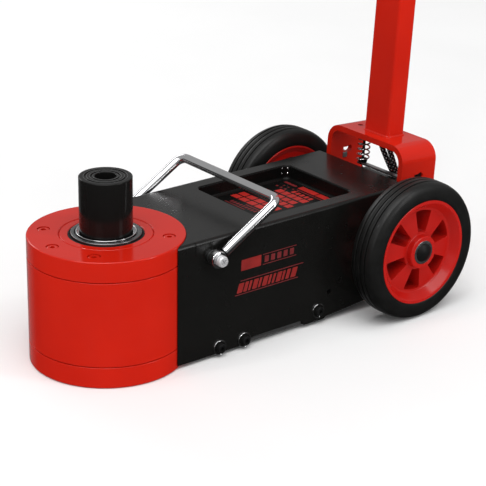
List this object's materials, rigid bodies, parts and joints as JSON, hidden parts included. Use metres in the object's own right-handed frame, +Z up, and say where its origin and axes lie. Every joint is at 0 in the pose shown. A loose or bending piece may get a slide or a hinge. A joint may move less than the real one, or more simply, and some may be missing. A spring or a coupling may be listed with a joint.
{
  "type": "air hydraulic truck jack",
  "caption": "Low two-stage air-hydraulic cylinder jack on a wheeled sheet-steel chassis with a tool tray, a carrying bail and a tall tilting steering handle.",
  "frame": {"origin": "centre of the cylinder's base face, on the floor under the lifting axis", "axes": "+X along the chassis from the lifting cylinder to the wheels, +Z up along the ram, +Y across the wheels"},
  "size_m": [0.6673, 0.344, 1.1771],
  "materials": {
    "red_paint": "gloss",
    "black_paint": "gloss",
    "grey_steel": "satin",
    "black_ram": "gloss",
    "bright_chrome": "polished",
    "zinc_steel": "satin",
    "tyre_rubber": "satin",
    "red_rim": "gloss",
    "black_plastic": "satin",
    "black_rubber": "matt",
    "brass_fitting": "satin",
    "cast_aluminium": "cast",
    "hose_braid": "braided"
  },
  "bodies": {
    "chassis": {"base_ring": "red_paint", "barrel_shell": "red_paint", "top_cap": "red_paint", "gland_nut": "red_paint", "ram_wiper": "black_rubber", "cap_bolts": "red_paint", "inner_cylinder": "grey_steel", "chassis_shell": "black_paint", "tray_pan": "black_paint", "bottom_pan": "grey_steel", "side_bolts": "black_paint", "side_washers": "zinc_steel", "side_nuts": "zinc_steel", "hinge_plates": "black_paint", "pivot_bolts": "zinc_steel", "pivot_nuts": "zinc_steel", "axle": "zinc_steel", "axle_spacers": "zinc_steel", "bail_screws": "zinc_steel", "pump_block": "grey_steel", "motor_cylinder": "cast_aluminium", "motor_cap": "cast_aluminium", "motor_spring": "zinc_steel", "release_valve": "zinc_steel", "hose_fittings": "brass_fitting", "supply_hose_lower": "hose_braid", "release_hose_lower": "hose_braid"},
    "first_stage": {"first_stage_piston": "bright_chrome", "first_stage_seal": "black_rubber"},
    "second_stage": {"second_stage_ram": "bright_chrome", "second_stage_seal": "black_rubber"},
    "extension": {"ram_extension": "black_ram"},
    "wheel_left": {"tyre_left": "tyre_rubber", "rim_left": "red_rim", "hub_cap_left": "black_plastic", "bearings_left": "zinc_steel"},
    "wheel_right": {"tyre_right": "tyre_rubber", "rim_right": "red_rim", "hub_cap_right": "black_plastic", "bearings_right": "zinc_steel"},
    "bail": {"bail_handle": "bright_chrome"},
    "handle": {"yoke": "red_paint", "handle_tube": "red_paint", "cross_bar": "red_paint", "grips": "black_rubber", "control_block": "black_plastic", "lever_pins": "zinc_steel", "pivot_bushes": "brass_fitting", "supply_hose_upper": "hose_braid", "release_hose_upper": "hose_braid", "air_inlet": "brass_fitting", "latch_spring": "zinc_steel", "keeper_stud": "zinc_steel"},
    "latch": {"latch_plate": "zinc_steel", "latch_rod": "black_ram"},
    "lift_lever": {"lift_lever": "zinc_steel"},
    "release_lever": {"release_lever": "red_paint"},
    "pump_piston": {"motor_piston": "cast_aluminium", "piston_seal": "black_rubber"},
    "release_plunger": {"release_plunger": "brass_fitting"}
  },
  "joints": [
    {"name": "first_stage_lift", "type": "slide", "parent": "chassis", "child": "first_stage", "axis": [0, 0, 1], "range_m": [0, 0.1]},
    {"name": "second_stage_lift", "type": "slide", "parent": "first_stage", "child": "second_stage", "axis": [0, 0, 1], "range_m": [0, 0.09]},
    {"name": "extension_lift", "type": "slide", "parent": "second_stage", "child": "extension", "axis": [0, 0, 1], "range_m": [0, 0.045]},
    {"name": "bail_swing", "type": "hinge", "parent": "chassis", "child": "bail", "pos_m": [0.101, 0, 0.148], "axis": [0, -1, 0], "range_deg": [-14, 80]},
    {"name": "wheel_left_spin", "type": "hinge", "parent": "chassis", "child": "wheel_left", "pos_m": [0.418, -0.144, 0.1], "axis": [0, 1, 0], "continuous": true},
    {"name": "wheel_right_spin", "type": "hinge", "parent": "chassis", "child": "wheel_right", "pos_m": [0.418, 0.144, 0.1], "axis": [0, 1, 0], "continuous": true},
    {"name": "handle_tilt", "type": "hinge", "parent": "chassis", "child": "handle", "pos_m": [0.481, 0, 0.105], "axis": [0, 1, 0], "range_deg": [0, 78]},
    {"name": "latch_lift", "type": "slide", "parent": "handle", "child": "latch", "axis": [0.0563, 0, 0.9984], "range_m": [0, 0.004], "stiffness_N_per_m": 1500, "springref_m": -0.006, "deforming": ["latch_spring"]},
    {"name": "lift_lever_press", "type": "hinge", "parent": "handle", "child": "lift_lever", "pos_m": [0.50364, 0, 1.10277], "axis": [0, 1, 0], "range_deg": [0, 18], "stiffness_Nm_per_rad": 0.3, "springref_deg": -17.19},
    {"name": "release_lever_press", "type": "hinge", "parent": "handle", "child": "release_lever", "pos_m": [0.50364, 0, 1.10277], "axis": [0, 1, 0], "range_deg": [0, 18], "stiffness_Nm_per_rad": 0.3, "springref_deg": -17.19},
    {"name": "pump_stroke", "type": "slide", "parent": "chassis", "child": "pump_piston", "axis": [0, 0, -1], "range_m": [0, 0.02], "stiffness_N_per_m": 1500, "springref_m": -0.01, "deforming": ["motor_spring"]},
    {"name": "release_valve_lift", "type": "slide", "parent": "chassis", "child": "release_plunger", "axis": [0, 0, 1], "range_m": [0, 0.003]}
  ],
  "couplings": [
    {"joint": "release_valve_lift", "follows": "release_lever_press", "m_per_rad": 0.0095}
  ]
}
